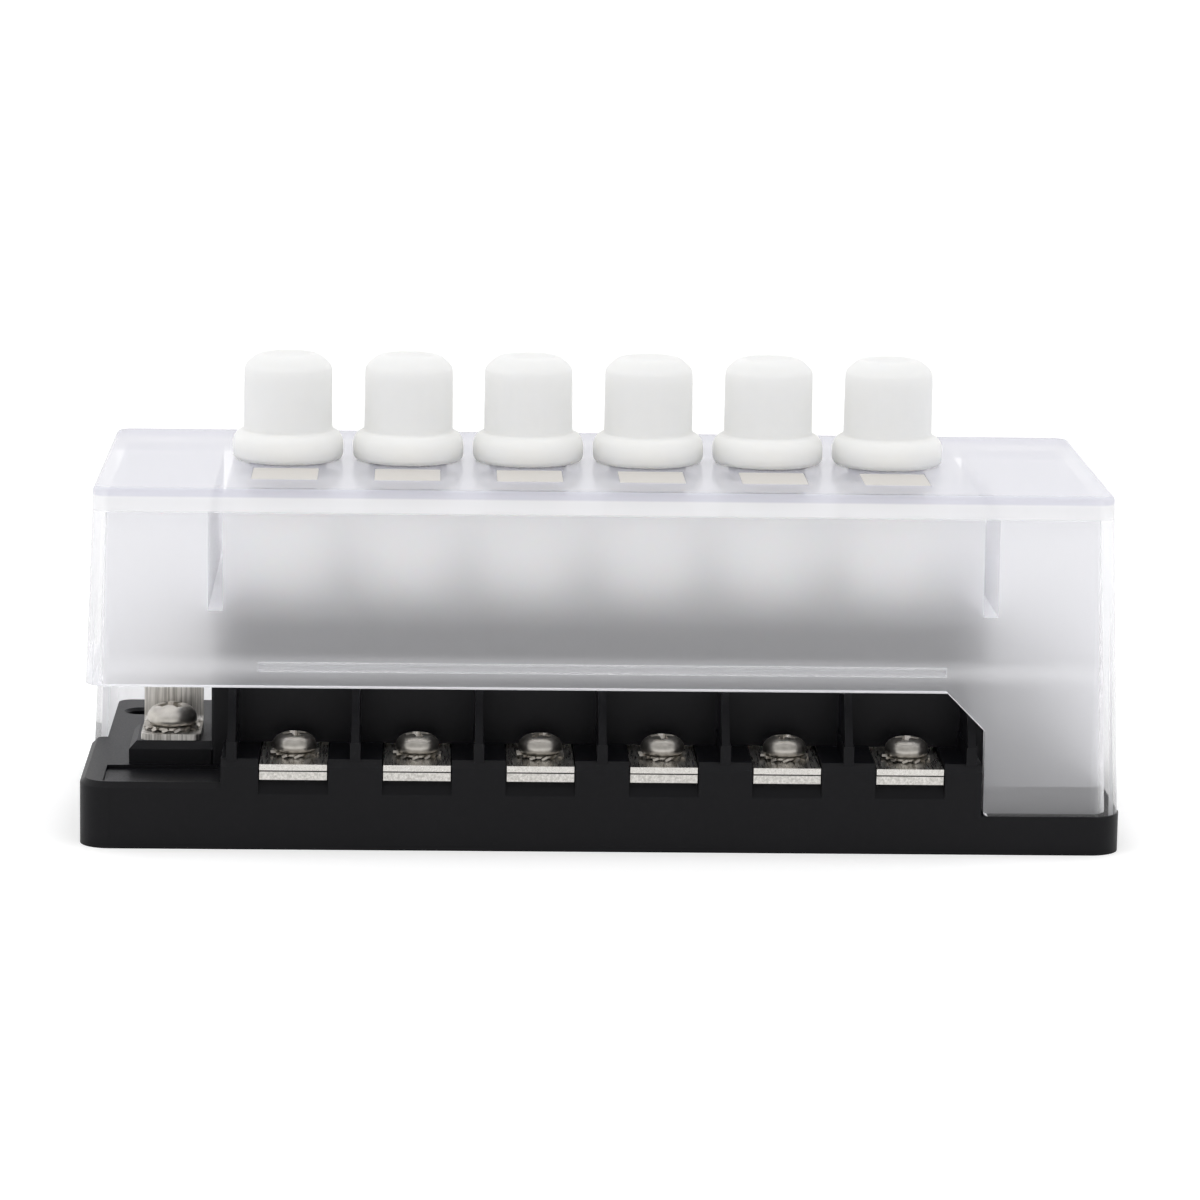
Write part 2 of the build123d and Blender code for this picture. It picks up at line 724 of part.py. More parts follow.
# Cover: a drafted clear shell with two partitions, a mouth at the front left and boot holes
cover_length = base_length - 2 * cover_inset
cover_depth = base_depth - 2 * cover_inset
cover_corner = base_corner - cover_inset
label_y = breaker_y - boot_collar_radius - label_boot_gap - label_width / 2
with BuildPart() as cover:
    with BuildSketch(Plane.XY.offset(flange_height)):
        RectangleRounded(cover_length, cover_depth, cover_corner)
    extrude(amount=cover_top - flange_height, taper=cover_draft)
    fillet(cover.faces().sort_by(Axis.Z)[-1].edges(), radius=cover_edge)
    with BuildSketch(Plane.XY.offset(flange_height)):
        RectangleRounded(
            cover_length - 2 * cover_wall, cover_depth - 2 * cover_wall, cover_corner - cover_wall
        )
    extrude(amount=cover_underside - flange_height, taper=cover_draft, mode=Mode.SUBTRACT)

    # Partitions above the housing's two ends
    partition_x = housing_half - housing_end / 2
    partition_foot = housing_top + partition_gap
    with BuildSketch(Plane.XY.offset(partition_foot)):
        with Locations((-partition_x, 0), (partition_x, 0)):
            Rectangle(partition_thickness, cover_depth - 2 * cover_wall - 2 * partition_end)
    extrude(until=Until.NEXT)

    # Mouth: open along the front and round the left end, with a sloped right corner
    mouth_reach = base_corner + cover_wall
    with BuildSketch(Plane((0, front_y, 0), x_dir=(1, 0, 0), z_dir=(0, -1, 0))):
        with BuildLine():
            Polyline(
                (-base_length, 0),
                (-base_length, mouth_top),
                (mouth_right_x - mouth_slope, mouth_top),
                (mouth_right_x, mouth_top - mouth_slope),
                (mouth_right_x, 0),
                close=True,
            )
        make_face()
    extrude(amount=-mouth_reach, mode=Mode.SUBTRACT)
    with BuildSketch():
        with Locations((-base_half, front_y + mouth_side_depth / 2)):
            Rectangle(2 * mouth_reach, mouth_side_depth)
    extrude(amount=mouth_top, mode=Mode.SUBTRACT)
    mouth_foot = cover.edges().filter_by(Axis.Y).filter_by(
        lambda edge: abs(edge.center().X - mouth_right_x) + abs(edge.center().Z - flange_height) < 0.01
    )
    fillet(mouth_foot, radius=mouth_corner)

    # Stiffening bead inside the front wall, above the mouth
    bead_z = mouth_top + bead_rise
    bead_y = front_y + cover_inset + cover_wall + (bead_z - flange_height) * tan(radians(cover_draft))
    with BuildSketch(Plane.YZ):
        with Locations((bead_y, bead_z)):
            Circle(bead_radius)
    extrude(amount=mouth_right_x - mouth_slope, both=True)

    # Boot holes and label recesses in the roof
    with BuildSketch(Plane.XY.offset(cover_underside)):
        with Locations(*[(x, breaker_y) for x in breaker_xs]):
            Circle(boot_hole_radius)
    extrude(amount=cover_wall, mode=Mode.SUBTRACT)
    with BuildSketch(Plane.XY.offset(cover_top)):
        with Locations(*[(x, label_y) for x in breaker_xs]):
            Rectangle(label_length, label_width)
    extrude(amount=-label_sink, mode=Mode.SUBTRACT)
cover.part.label = "cover"
export_step(cover.part, "parts/cover.step")


# Labels: blank slips in the recesses in front of the boots
with BuildPart() as circuit_labels:
    with BuildSketch(Plane.XY.offset(cover_top - label_sink)):
        with Locations(*[(x, label_y) for x in breaker_xs]):
            Rectangle(label_length - 2 * label_side_gap, label_width - 2 * label_side_gap)
    extrude(amount=label_thickness)
circuit_labels.part.label = "circuit_labels"
export_step(circuit_labels.part, "parts/circuit_labels.step")


# Boots: moulded rubber caps, each with a groove that grips the rim of its hole
boot_bore = breaker_neck_radius + boot_bore_gap
boot_groove_radius = boot_hole_radius - boot_seat_gap
flange_top = cover_underside - boot_seat_gap
flange_foot = flange_top - boot_flange_height
collar_foot = cover_top + boot_seat_gap
collar_top = cover_top + boot_collar_height
boot_top = cover_top + boot_height
cavity_radius = boot_cap_radius - boot_wall
for way, breaker_x in enumerate(breaker_xs, start=1):
    with BuildPart() as boot:
        with BuildSketch(Plane((breaker_x, breaker_y, 0), x_dir=(1, 0, 0), z_dir=(0, -1, 0))) as boot_half:
            with BuildLine():
                Polyline(
                    (boot_bore, flange_foot),
                    (boot_flange_radius, flange_foot),
                    (boot_flange_radius, flange_top),
                    (boot_groove_radius, flange_top),
                    (boot_groove_radius, collar_foot),
                    (boot_collar_radius, collar_foot),
                    (boot_collar_radius, collar_top),
                    (boot_cap_radius, collar_top),
                    (boot_cap_radius, boot_top - boot_cap_drop),
                    (boot_cap_radius - boot_cap_chamfer, boot_top),
                    (0, boot_top),
                    (0, boot_top - boot_roof),
                    (cavity_radius, boot_top - boot_roof),
                    (cavity_radius, collar_top),
                    (boot_bore, collar_top),
                    close=True,
                )
            make_face()
            collar_corner = boot_half.vertices().filter_by(
                lambda corner: abs(corner.X - boot_collar_radius) < 0.01 and corner.Y > collar_foot + 0.01
            )
            fillet(collar_corner, radius=boot_collar_round)
            cap_corners = boot_half.vertices().filter_by(
                lambda corner: corner.Y > boot_top - boot_cap_drop - 0.01 and corner.X > cavity_radius - 1
            )
            fillet(cap_corners, radius=boot_cap_round)
        revolve(axis=Axis((breaker_x, breaker_y, 0), (0, 0, 1)))
    boot.part.label = f"boot_{way}"
    export_step(boot.part, f"parts/boot_{way}.step")
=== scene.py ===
"""A six-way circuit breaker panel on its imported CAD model, in metres. +X along the row, +Y back, +Z up."""
import math
import bmesh
import bpy
from mathutils import Matrix, Vector


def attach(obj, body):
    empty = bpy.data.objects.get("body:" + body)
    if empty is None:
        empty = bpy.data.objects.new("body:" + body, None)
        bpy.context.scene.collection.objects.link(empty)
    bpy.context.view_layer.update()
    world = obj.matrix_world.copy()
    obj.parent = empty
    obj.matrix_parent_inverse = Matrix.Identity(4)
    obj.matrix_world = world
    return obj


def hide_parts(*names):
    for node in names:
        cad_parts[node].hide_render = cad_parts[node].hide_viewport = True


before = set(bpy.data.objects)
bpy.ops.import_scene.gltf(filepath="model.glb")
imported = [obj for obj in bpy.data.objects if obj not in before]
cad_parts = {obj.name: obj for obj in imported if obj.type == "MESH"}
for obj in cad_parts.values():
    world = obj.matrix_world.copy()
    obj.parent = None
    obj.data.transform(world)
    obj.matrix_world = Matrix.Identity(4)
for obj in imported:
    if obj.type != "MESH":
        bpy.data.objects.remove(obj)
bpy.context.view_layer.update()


# Base: one black moulding of glass-filled thermoplastic, from a spark-eroded tool. The tool leaves a
# fine even grain that scatters the light, so the black looks charcoal on top and deep black upright.
MM = 0.001
way_pitch = 20 * MM
ways = range(1, 7)


def linear(hex_colour):
    """Turns an sRGB hex colour into linear RGBA."""
    parts = [int(hex_colour[i:i + 2], 16) / 255 for i in (1, 3, 5)]
    return tuple(c / 12.92 if c <= 0.04045 else ((c + 0.055) / 1.055) ** 2.4 for c in parts) + (1,)


def node(tree, kind, values, **settings):
    """Adds a node. A socket, or a node by its first live output, is linked, and any other value is set."""
    made = tree.nodes.new(kind)
    for name, setting in settings.items():
        setattr(made, name, setting)
    for socket, value in values.items():
        if isinstance(value, bpy.types.Node):
            value = next(output for output in value.outputs if output.enabled)
        if isinstance(value, bpy.types.NodeSocket):
            tree.links.new(value, made.inputs[socket])
        else:
            made.inputs[socket].default_value = value
    return made


def new_material(name):
    """Starts an empty node material and returns it with its tree and its object coordinates."""
    material = bpy.data.materials.new(name)
    material.use_nodes = True
    tree = material.node_tree
    tree.nodes.clear()
    return material, tree, node(tree, "ShaderNodeTexCoord", {}).outputs["Object"]


def dress(material, *names):
    """Puts a material on CAD nodes, in their objects' slots."""
    for name in names:
        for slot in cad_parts[name].material_slots:
            slot.link = "OBJECT"
            slot.material = material


black_moulding, tree, place = new_material("spark_eroded_black_moulding")
# Grain of 0.1 mm is too fine to show here, so it is drawn at 0.35 mm
grain = node(tree, "ShaderNodeTexNoise", {
    "Vector": place, "Scale": 1 / (0.35 * MM), "Detail": 2.0, "Roughness": 0.6})
flow = node(tree, "ShaderNodeTexNoise", {"Vector": place, "Scale": 1 / (24 * MM), "Detail": 3.0})
tint = node(tree, "ShaderNodeMix", {"Factor": flow, "A": linear("#0a0a0d"), "B": linear("#0f0f13")},
            data_type="RGBA")
rough = node(tree, "ShaderNodeMapRange", {"Value": grain, "To Min": 0.34, "To Max": 0.5})
dents = node(tree, "ShaderNodeBump", {"Height": grain, "Strength": 0.4, "Distance": 0.05 * MM})
shader = node(tree, "ShaderNodeBsdfPrincipled", {
    "Base Color": tint, "Roughness": rough, "IOR": 1.5, "Specular IOR Level": 0.2, "Normal": dents})
node(tree, "ShaderNodeOutputMaterial", {"Surface": shader})
dress(black_moulding, "base")


# Output strips, nut plates and blades: copper strip, tin-plated after blanking and bending. Rolling
# leaves fine lines along the strip, and the tin is a soft, slightly warm white metal.
nut_plate_top = 13.1 * MM


def plated_strip(name, stretch, line, depth, dark, rough_low, rough_high, shaded_seam=None):
    """A tin-plated strip with darker lines of a width and a depth, drawn out by the stretch, and a painted
    shade line under a seam if one is given.
    """
    material, tree, place = new_material(name)
    drawn = node(tree, "ShaderNodeMapping", {"Vector": place, "Scale": stretch})
    lines = node(tree, "ShaderNodeTexNoise", {
        "Vector": drawn, "Scale": 1 / line, "Detail": 4.0, "Roughness": 0.65})
    streak = node(tree, "ShaderNodeMapRange", {"Value": lines, "From Min": 0.35, "From Max": 0.65})
    tint = node(tree, "ShaderNodeMix", {"Factor": streak, "A": linear(dark), "B": linear("#f4f1ec")},
                data_type="RGBA")
    if shaded_seam:
        # Painted shade: a dark line, about 0.25 mm high, below the seam, where the strip above shades the
        # plate's edge
        height = node(tree, "ShaderNodeSeparateXYZ", {"Vector": place}).outputs["Z"]
        seam_shade = node(tree, "ShaderNodeMapRange", {
            "Value": height, "From Min": shaded_seam - 0.3 * MM, "From Max": shaded_seam - 0.22 * MM})
        tint = node(tree, "ShaderNodeMix", {"Factor": seam_shade, "A": tint, "B": linear("#1a1918")},
                    data_type="RGBA")
    rough = node(tree, "ShaderNodeMapRange", {
        "Value": lines, "From Min": 0.3, "From Max": 0.7, "To Min": rough_low, "To Max": rough_high})
    dents = node(tree, "ShaderNodeBump", {"Height": lines, "Strength": 0.5, "Distance": depth})
    shader = node(tree, "ShaderNodeBsdfPrincipled", {
        "Base Color": tint, "Metallic": 1.0, "Roughness": rough, "Normal": dents})
    node(tree, "ShaderNodeOutputMaterial", {"Surface": shader})
    return material


rolled = plated_strip("tin_plated_copper_strip", (1.0, 0.06, 1.0), 0.28 * MM, 0.025 * MM, "#d8d5cf",
                      0.2, 0.4)
dress(rolled, *[f"output_strip_{k}" for k in ways], *[f"breaker_blades_{k}" for k in ways])
# The nut plates get a painted shade line just under the strip above them
sawn = plated_strip("tin_plated_nut_plate", (1.0, 1.0, 1.0), 0.4 * MM, 0.03 * MM, "#c8c5bf",
                    0.28, 0.46, nut_plate_top)
dress(sawn, "nut_plates")


# Busbar: the same plated strip, wider, with its riser brushed upright before bending. The brushing is
# coarser than the rolling lines and streaks what the riser reflects.
brushed = plated_strip("brushed_tin_plated_busbar", (1.0, 1.0, 0.03), 0.5 * MM, 0.12 * MM, "#8f8b85",
                       0.32, 0.54)
dress(brushed, "busbar")


# Bus clips: sprung bronze strip, tin-plated, welded on the busbar. They are a little yellower than
# the bar.
spring_clip, tree, place = new_material("tin_plated_spring_bronze")
lines = node(tree, "ShaderNodeTexNoise", {"Vector": place, "Scale": 1 / (1.2 * MM)})
rough = node(tree, "ShaderNodeMapRange", {"Value": lines, "To Min": 0.25, "To Max": 0.4})
shader = node(tree, "ShaderNodeBsdfPrincipled", {
    "Base Color": linear("#ddd6c4"), "Metallic": 1.0, "Roughness": rough})
node(tree, "ShaderNodeOutputMaterial", {"Surface": shader})
dress(spring_clip, "bus_clips")


# Terminal and feed screws: cold-headed steel pan heads with a punched cross recess and bright nickel
# plate. The plate mirrors the studio, with slight waviness from the heading die.
screw_y = -27.0 * MM
screw_seat = 14.9 * MM
feed_place = Vector((-70.55, -14.1, 16.5)) * MM
nickel_plate, tree, place = new_material("nickel_plated_steel")
wave = node(tree, "ShaderNodeTexNoise", {"Vector": place, "Scale": 1 / (0.9 * MM), "Detail": 3.0})
tint = node(tree, "ShaderNodeMix", {"Factor": wave, "A": linear("#b8b3ab"), "B": linear("#e0dcd5")},
            data_type="RGBA")
rough = node(tree, "ShaderNodeMapRange", {"Value": wave, "To Min": 0.26, "To Max": 0.42})
dents = node(tree, "ShaderNodeBump", {"Height": wave, "Strength": 0.25, "Distance": 0.08 * MM})
shader = node(tree, "ShaderNodeBsdfPrincipled", {
    "Base Color": tint, "Metallic": 1.0, "Roughness": rough, "Normal": dents})
node(tree, "ShaderNodeOutputMaterial", {"Surface": shader})
dress(nickel_plate, "feed_nut")


def add_object(name, mesh):
    """Puts a mesh in the scene as an object at the origin."""
    made = bpy.data.objects.new(name, mesh)
    bpy.context.scene.collection.objects.link(made)
    return made


def spun(name, outline, steps):
    """A mesh turned about the Z axis from a half outline of (radius, height) points in millimetres."""
    shell = bmesh.new()
    ring = [shell.verts.new((r * MM, 0, z * MM)) for r, z in outline]
    pairs = zip(ring, ring[1:] + ring[:1])
    edges = [shell.edges.new(pair) for pair in pairs if pair[0].co.x > 0 or pair[1].co.x > 0]
    bmesh.ops.spin(shell, geom=ring + edges, cent=(0, 0, 0), axis=(0, 0, 1), angle=2 * math.pi,
                   steps=steps, use_merge=True)
    bmesh.ops.remove_doubles(shell, verts=shell.verts, dist=0.001 * MM)
    bmesh.ops.recalc_face_normals(shell, faces=shell.faces)
    mesh = bpy.data.meshes.new(name)
    shell.to_mesh(mesh)
    shell.free()
    return mesh


def settled(made, sharp):
    """Makes an object's modifiers a plain mesh, smooth but for edges sharper than an angle in degrees."""
    graph = bpy.context.evaluated_depsgraph_get()
    mesh = bpy.data.meshes.new_from_object(made.evaluated_get(graph))
    made.modifiers.clear()
    made.data = mesh
    mesh.polygons.foreach_set("use_smooth", [True] * len(mesh.polygons))
    mesh.set_sharp_from_angle(angle=math.radians(sharp))
    return made


def cross_recess(name, top, reach, width, depth):
    """A tapered cross that cuts the recess, as a mesh whose upper end stands above the head's top."""
    cutter = bmesh.new()
    rings = []
    for level, share in ((0.4, 1.08), (-depth, 0.42)):
        arm, half = reach / 2 * share, width / 2 * (0.55 + 0.45 * share)
        corners = [(arm, half), (half, half), (half, arm)]
        spots = []
        for quarter in range(4):
            turn = Matrix.Rotation(quarter * math.pi / 2, 3, "Z")
            spots += [turn @ Vector((x, y, 0)) for x, y in corners]
        rings.append([cutter.verts.new((spot + Vector((0, 0, top + level))) * MM) for spot in spots])
    upper, lower = rings
    cutter.faces.new(upper)
    cutter.faces.new(lower)
    for i in range(len(upper)):
        j = (i + 1) % len(upper)
        cutter.faces.new((upper[i], upper[j], lower[j], lower[i]))
    bmesh.ops.recalc_face_normals(cutter, faces=cutter.faces)
    mesh = bpy.data.meshes.new(name)
    cutter.to_mesh(mesh)
    cutter.free()
    return mesh


def pan_head_screw(name, radius, height, shank, length, recess):
    """One screw with its seat at height 0: a rounded pan head, cut by its recess, on a plain shank."""
    dome = [(0.0, 1.0), (0.3, 0.995), (0.5, 0.965), (0.68, 0.89), (0.83, 0.77), (0.935, 0.61),
            (0.99, 0.44), (1.0, 0.3), (0.985, 0.16), (0.93, 0.05), (0.86, 0.0)]
    outline = [(r * radius, z * height) for r, z in dome]
    outline += [(shank, 0.0), (shank, -length + 0.8), (shank * 0.6, -length), (0.0, -length)]
    screw = add_object(name, spun(name, outline, 64))
    cutter = add_object("recess", cross_recess("recess", height, *recess))
    cut = screw.modifiers.new("recess", "BOOLEAN")
    cut.operation, cut.solver, cut.object = "DIFFERENCE", "EXACT", cutter
    settled(screw, 32)
    bpy.data.objects.remove(cutter)
    return screw


row = bpy.data.node_groups.new("row of fasteners", "GeometryNodeTree")
row.is_modifier = True
row_inputs = {}
for name, kind in (("Shape", "Geometry"), ("Count", "Int"), ("First", "Vector"), ("Step", "Vector"),
                   ("Least turn", "Vector"), ("Most turn", "Vector"), ("Seed", "Int"),
                   ("Finish", "Material")):
    socket = row.interface.new_socket(name, in_out="INPUT", socket_type="NodeSocket" + kind)
    row_inputs[name] = socket.identifier
row.interface.new_socket("Row", in_out="OUTPUT", socket_type="NodeSocketGeometry")
given = node(row, "NodeGroupInput", {}).outputs
spots = node(row, "GeometryNodeMeshLine", {
    "Count": given["Count"], "Start Location": given["First"], "Offset": given["Step"]})
turns = node(row, "FunctionNodeRandomValue", {
    0: given["Least turn"], 1: given["Most turn"], "Seed": given["Seed"]}, data_type="FLOAT_VECTOR")
set_out = node(row, "GeometryNodeInstanceOnPoints", {
    "Points": spots, "Instance": given["Shape"], "Rotation": turns})
real = node(row, "GeometryNodeRealizeInstances", {"Geometry": set_out})
finished = node(row, "GeometryNodeSetMaterial", {"Geometry": real, "Material": given["Finish"]})
node(row, "NodeGroupOutput", {"Row": finished})


def set_in_row(made, sharp, **sizes):
    """Repeats an object's mesh along the row by the tree above, and leaves it a plain mesh."""
    repeat = made.modifiers.new("row", "NODES")
    repeat.node_group = row
    for name, value in sizes.items():
        repeat[row_inputs[name.replace("_", " ")]] = value
    return settled(made, sharp)


first_x = -2.5 * way_pitch
terminal_screws = pan_head_screw("pan_head_screws", 3.6, 2.9, 1.7, 8.2, (4.3, 1.15, 1.6))
set_in_row(terminal_screws, 32, Count=6, First=(first_x, screw_y, screw_seat), Step=(way_pitch, 0, 0),
           Least_turn=(0, 0, 0.0), Most_turn=(0, 0, 1.5), Seed=4, Finish=nickel_plate)
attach(terminal_screws, "panel")
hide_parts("terminal_screws")

feed_screw = pan_head_screw("feed_pan_head_screw", 4.1, 3.3, 2.0, 9.0, (5.2, 1.35, 1.9))
set_in_row(feed_screw, 32, Count=1, First=tuple(feed_place), Step=(0, 0, 0),
           Least_turn=(0, 0, 0.6), Most_turn=(0, 0, 0.61), Seed=1, Finish=nickel_plate)
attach(feed_screw, "panel")
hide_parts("feed_screw")


# Tooth lock washers: spring steel rings with twisted teeth, blanked and nickel-plated. Each tooth's
# edges catch the light on their own, which makes the broken bright line under every head.
lock_height = 0.8 * MM
feed_height = 0.9 * MM
toothed = bpy.data.node_groups.new("toothed ring", "GeometryNodeTree")
toothed.is_modifier = True
tooth_inputs = {}
for name, kind in (("Ring", "Geometry"), ("Teeth", "Int"), ("Radius", "Float"),
                   ("Tooth size", "Vector"), ("Twist", "Float"), ("Finish", "Material")):
    socket = toothed.interface.new_socket(name, in_out="INPUT", socket_type="NodeSocket" + kind)
    tooth_inputs[name] = socket.identifier
toothed.interface.new_socket("Washer", in_out="OUTPUT", socket_type="NodeSocketGeometry")
given = node(toothed, "NodeGroupInput", {}).outputs
circle = node(toothed, "GeometryNodeMeshCircle", {
    "Vertices": given["Teeth"], "Radius": given["Radius"]})
tooth = node(toothed, "GeometryNodeMeshCube", {"Size": given["Tooth size"]})
number = node(toothed, "GeometryNodeInputIndex", {})
apart = node(toothed, "ShaderNodeMath", {0: 2 * math.pi, 1: given["Teeth"]}, operation="DIVIDE")
angle = node(toothed, "ShaderNodeMath", {0: number, 1: apart}, operation="MULTIPLY")
turn = node(toothed, "ShaderNodeCombineXYZ", {"X": given["Twist"], "Z": angle})
teeth = node(toothed, "GeometryNodeInstanceOnPoints", {
    "Points": circle, "Instance": tooth, "Rotation": turn})
both = node(toothed, "GeometryNodeJoinGeometry", {})
toothed.links.new(given["Ring"], both.inputs[0])
toothed.links.new(teeth.outputs["Instances"], both.inputs[0])
real = node(toothed, "GeometryNodeRealizeInstances", {"Geometry": both})
finished = node(toothed, "GeometryNodeSetMaterial", {"Geometry": real, "Material": given["Finish"]})
node(toothed, "NodeGroupOutput", {"Washer": finished})


def tooth_washer(name, radius, hole, thickness, count, tooth, reach):
    """One washer, centred at height 0: a flat ring with twisted teeth that reach beyond its radius."""
    low, high, edge = -thickness / 2, thickness / 2, 0.1
    outline = [(hole, low + edge), (hole, high - edge), (hole + edge, high), (radius - edge, high),
               (radius, high - edge), (radius, low + edge), (radius - edge, low), (hole + edge, low)]
    washer = add_object(name, spun(name, outline, 48))
    cut = washer.modifiers.new("teeth", "NODES")
    cut.node_group = toothed
    for socket, value in (("Teeth", count), ("Radius", (radius + reach - tooth[0] / 2) * MM),
                          ("Tooth size", tuple(size * MM for size in tooth)),
                          ("Twist", math.radians(24)), ("Finish", nickel_plate)):
        cut[tooth_inputs[socket]] = value
    return settled(washer, 30)


lock_washers = tooth_washer("tooth_lock_washers", 3.1, 1.85, 0.45, 12, (1.1, 0.95, 0.4), 0.82)
set_in_row(lock_washers, 30, Count=6, First=(first_x, screw_y, screw_seat - lock_height / 2),
           Step=(way_pitch, 0, 0), Least_turn=(0, 0, 0), Most_turn=(0, 0, 0.5), Seed=9,
           Finish=nickel_plate)
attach(lock_washers, "panel")
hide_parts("lock_washers")

feed_washer = tooth_washer("feed_tooth_washer", 3.8, 2.15, 0.5, 14, (1.1, 1.0, 0.45), 0.8)
set_in_row(feed_washer, 30, Count=1, First=tuple(feed_place - Vector((0, 0, feed_height / 2))),
           Step=(0, 0, 0), Least_turn=(0, 0, 0), Most_turn=(0, 0, 0.01), Seed=1, Finish=nickel_plate)
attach(feed_washer, "panel")
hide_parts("feed_washer")


# Breakers: pale nylon shells with a glossier reset button in each neck. Nylon lets a little light
# soak in, so its edges look soft.
def pale_moulding(name, colour, rough_low, rough_high):
    """A pale moulded nylon or acetal with a fine uneven gloss."""
    material, tree, place = new_material(name)
    grain = node(tree, "ShaderNodeTexNoise", {"Vector": place, "Scale": 1 / (0.8 * MM), "Detail": 2.0})
    rough = node(tree, "ShaderNodeMapRange", {
        "Value": grain, "To Min": rough_low, "To Max": rough_high})
    dents = node(tree, "ShaderNodeBump", {"Height": grain, "Strength": 0.2, "Distance": 0.04 * MM})
    shader = node(tree, "ShaderNodeBsdfPrincipled", {
        "Base Color": linear(colour), "Roughness": rough, "IOR": 1.53,
        "Subsurface Weight": 0.25, "Subsurface Scale": 1.0 * MM, "Normal": dents})
    node(tree, "ShaderNodeOutputMaterial", {"Surface": shader})
    return material


dress(pale_moulding("natural_nylon_moulding", "#f4f3ef", 0.4, 0.56),
      *[f"breaker_body_{k}" for k in ways])
dress(pale_moulding("white_acetal_button", "#f3f2ee", 0.2, 0.32),
      *[f"reset_button_{k}" for k in ways])


# Cover: clear polycarbonate shell. The core of its tool is blasted, so the walls are frosted inside, up
# to a line under the roof. The roof is polished on both sides, and its rim looks pale lavender.
wall_lean = math.tan(math.radians(2.3))
wall_middle = (83.75 * MM, 34.05 * MM, 0)
frost_line = 54.8 * MM
roof_rim = 57.2 * MM
mouth_edges_top = 28 * MM
bead_height = 29.5 * MM
clear_shell, tree, place = new_material("frosted_clear_polycarbonate")
# Each wall leans in by its draft, so a point's half length and half depth are taken down to the floor
split = node(tree, "ShaderNodeSeparateXYZ", {"Vector": place}).outputs
rise = node(tree, "ShaderNodeCombineXYZ", {"X": split["Z"], "Y": split["Z"]})
plan = node(tree, "ShaderNodeVectorMath", {0: place}, operation="ABSOLUTE")
upright = node(tree, "ShaderNodeVectorMath", {0: rise, 1: (wall_lean, wall_lean, 0), 2: plan},
               operation="MULTIPLY_ADD")
within = node(tree, "ShaderNodeVectorMath", {0: wall_middle, 1: upright}, operation="SUBTRACT")
within = node(tree, "ShaderNodeSeparateXYZ", {"Vector": within}).outputs
least = node(tree, "ShaderNodeMath", {0: within["X"], 1: within["Y"]}, operation="MINIMUM")
inner = node(tree, "ShaderNodeMath", {0: least, 1: 0.0}, operation="GREATER_THAN")
below = node(tree, "ShaderNodeMapRange", {
    "Value": split["Z"], "From Min": frost_line + 0.3 * MM, "From Max": frost_line - 0.3 * MM})
frost = node(tree, "ShaderNodeMath", {0: inner, 1: below}, operation="MULTIPLY")
normal = node(tree, "ShaderNodeNewGeometry", {}).outputs["True Normal"]
facing = node(tree, "ShaderNodeVectorMath", {0: normal}, operation="ABSOLUTE")
facing = node(tree, "ShaderNodeSeparateXYZ", {"Vector": facing}).outputs
# The cut edges of the mouth scatter light and show white
level = node(tree, "ShaderNodeMath", {0: facing["Z"], 1: 0.6}, operation="GREATER_THAN")
sideways = node(tree, "ShaderNodeMath", {0: facing["Y"], 1: 0.5}, operation="LESS_THAN")
forward = node(tree, "ShaderNodeMath", {0: split["Y"], 1: -20 * MM}, operation="LESS_THAN")
outward = node(tree, "ShaderNodeMath", {0: within["Y"], 1: 0.9 * MM}, operation="LESS_THAN")
short = node(tree, "ShaderNodeMath", {0: within["X"], 1: 2 * MM}, operation="GREATER_THAN")
cut = node(tree, "ShaderNodeMath", {0: sideways, 1: forward}, operation="MULTIPLY")
cut = node(tree, "ShaderNodeMath", {0: cut, 1: outward}, operation="MULTIPLY")
cut = node(tree, "ShaderNodeMath", {0: cut, 1: short}, operation="MULTIPLY")
cut = node(tree, "ShaderNodeMath", {0: cut, 1: level}, operation="MAXIMUM")
lower = node(tree, "ShaderNodeMath", {0: split["Z"], 1: mouth_edges_top}, operation="LESS_THAN")
rim = node(tree, "ShaderNodeMath", {0: cut, 1: lower}, operation="MULTIPLY")
# The polished band above the frost line shows hazier, and glancing views of clear faces do too
band = node(tree, "ShaderNodeMapRange", {
    "Value": split["Z"], "From Min": frost_line - 0.1 * MM, "From Max": frost_line + 0.3 * MM,
    "To Max": 0.7})
steep = node(tree, "ShaderNodeMath", {0: facing["Z"], 1: 0.9}, operation="LESS_THAN")
band = node(tree, "ShaderNodeMath", {0: band, 1: steep}, operation="MULTIPLY")
glance = node(tree, "ShaderNodeLayerWeight", {"Blend": 0.5}).outputs["Facing"]
haze = node(tree, "ShaderNodeMath", {0: glance, 1: 2.5}, operation="POWER")
haze = node(tree, "ShaderNodeMapRange", {"Value": haze, "To Min": 0.1, "To Max": 0.8})
haze = node(tree, "ShaderNodeMath", {0: haze, 1: band}, operation="MAXIMUM")
haze = node(tree, "ShaderNodeMath", {0: haze, 1: rim}, operation="MAXIMUM")
cover_alpha = node(tree, "ShaderNodeMath", {0: haze, 1: frost}, operation="MAXIMUM")
grit = node(tree, "ShaderNodeTexNoise", {"Vector": place, "Scale": 1 / (0.32 * MM), "Detail": 1.0})
let_by = node(tree, "ShaderNodeMapRange", {
    "Value": grit, "From Min": 0.3, "From Max": 0.7, "To Min": 0.77, "To Max": 0.82})
